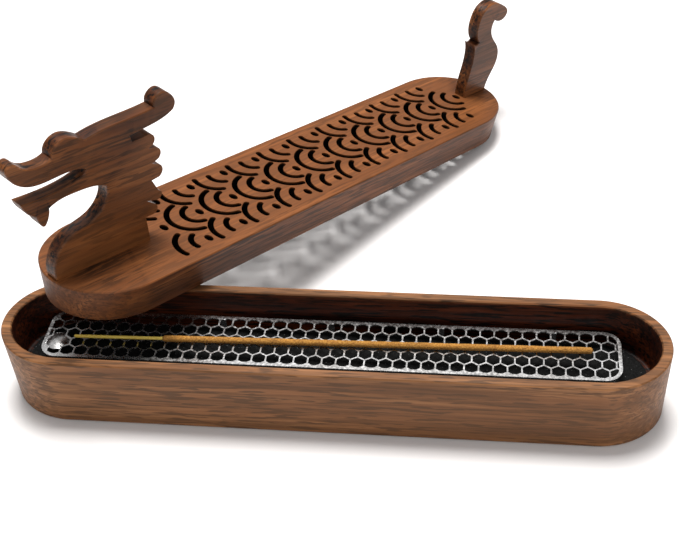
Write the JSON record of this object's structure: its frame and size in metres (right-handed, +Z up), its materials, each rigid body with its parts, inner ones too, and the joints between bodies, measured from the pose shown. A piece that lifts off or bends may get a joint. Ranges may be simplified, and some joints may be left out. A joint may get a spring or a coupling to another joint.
{
  "type": "incense_burner",
  "caption": "Long wooden incense tray with felt mat, loose steel mesh and stick, and a pierced wave-pattern lid with an upright dragon head and tail",
  "frame": {"origin": "centre of the flat underside of the tray", "axes": "+X along the tray toward the end where the incense stick's coated tip lies, +Y to the back, +Z up"},
  "size_m": [0.268, 0.2469, 0.1171],
  "materials": {
    "dark_wood": "satin oiled walnut, fine grain along the length",
    "black_felt": "matte felt with tiny glints",
    "bright_steel": "bright bare steel",
    "bamboo": "smooth yellow bamboo",
    "incense_paste": "dry granular golden-brown powder coating"
  },
  "bodies": {
    "tray_body": {"tray": "dark_wood", "fireproof_mat": "black_felt"},
    "grid_body": {"mesh_grid": "bright_steel"},
    "stick_body": {"incense_core": "bamboo", "incense_coating": "incense_paste"},
    "lid_body": {"lid": "dark_wood", "dragon_head": "dark_wood", "dragon_tail": "dark_wood", "head_dowel_front": "dark_wood", "head_dowel_rear": "dark_wood", "tail_dowel_front": "dark_wood", "tail_dowel_rear": "dark_wood"}
  },
  "joints": [
    {"name": "lid_lift", "type": "slide", "parent": "tray_body", "child": "lid_body", "axis": [0, 0, 1], "range_m": [0, 0.08]},
    {"name": "grid_lift", "type": "slide", "parent": "tray_body", "child": "grid_body", "axis": [0, 0, 1], "range_m": [0, 0.004]},
    {"name": "stick_lift", "type": "slide", "parent": "grid_body", "child": "stick_body", "axis": [0, 0, 1], "range_m": [0, 0.004]}
  ]
}
